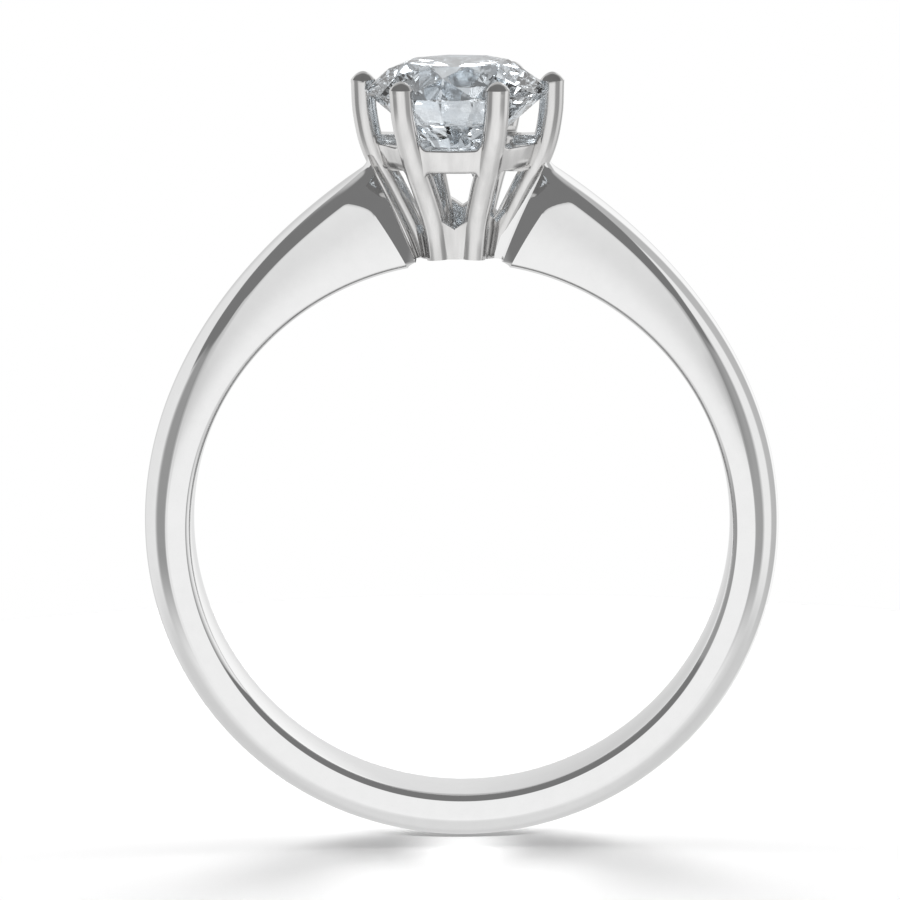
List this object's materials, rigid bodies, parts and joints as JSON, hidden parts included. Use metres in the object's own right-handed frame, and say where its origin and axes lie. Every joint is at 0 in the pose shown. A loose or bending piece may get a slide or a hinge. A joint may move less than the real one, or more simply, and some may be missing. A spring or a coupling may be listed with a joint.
{
  "type": "engagement ring",
  "caption": "Solitaire ring: a round brilliant stone held by wire claws over a gallery rail, on a domed band whose shoulders rise to the head.",
  "frame": {"origin": "centre of the finger hole, on its axis and midway between the shank's side faces", "axes": "+Y along the finger hole's axis, +Z from the finger through the stone, +X across the shoulders"},
  "size_m": [0.02, 0.0062, 0.0248],
  "materials": {
    "diamond": "faceted colourless diamond, refractive index 2.42",
    "head_metal": "mirror-polished rhodium-plated white gold",
    "shank_metal": "mirror-polished rhodium-plated white gold"
  },
  "bodies": {
    "root": {"diamond": "diamond", "claw_1": "head_metal", "claw_2": "head_metal", "claw_3": "head_metal", "claw_4": "head_metal", "claw_5": "head_metal", "claw_6": "head_metal", "gallery_rail": "head_metal", "head_base": "head_metal", "shank": "shank_metal"}
  },
  "joints": []
}
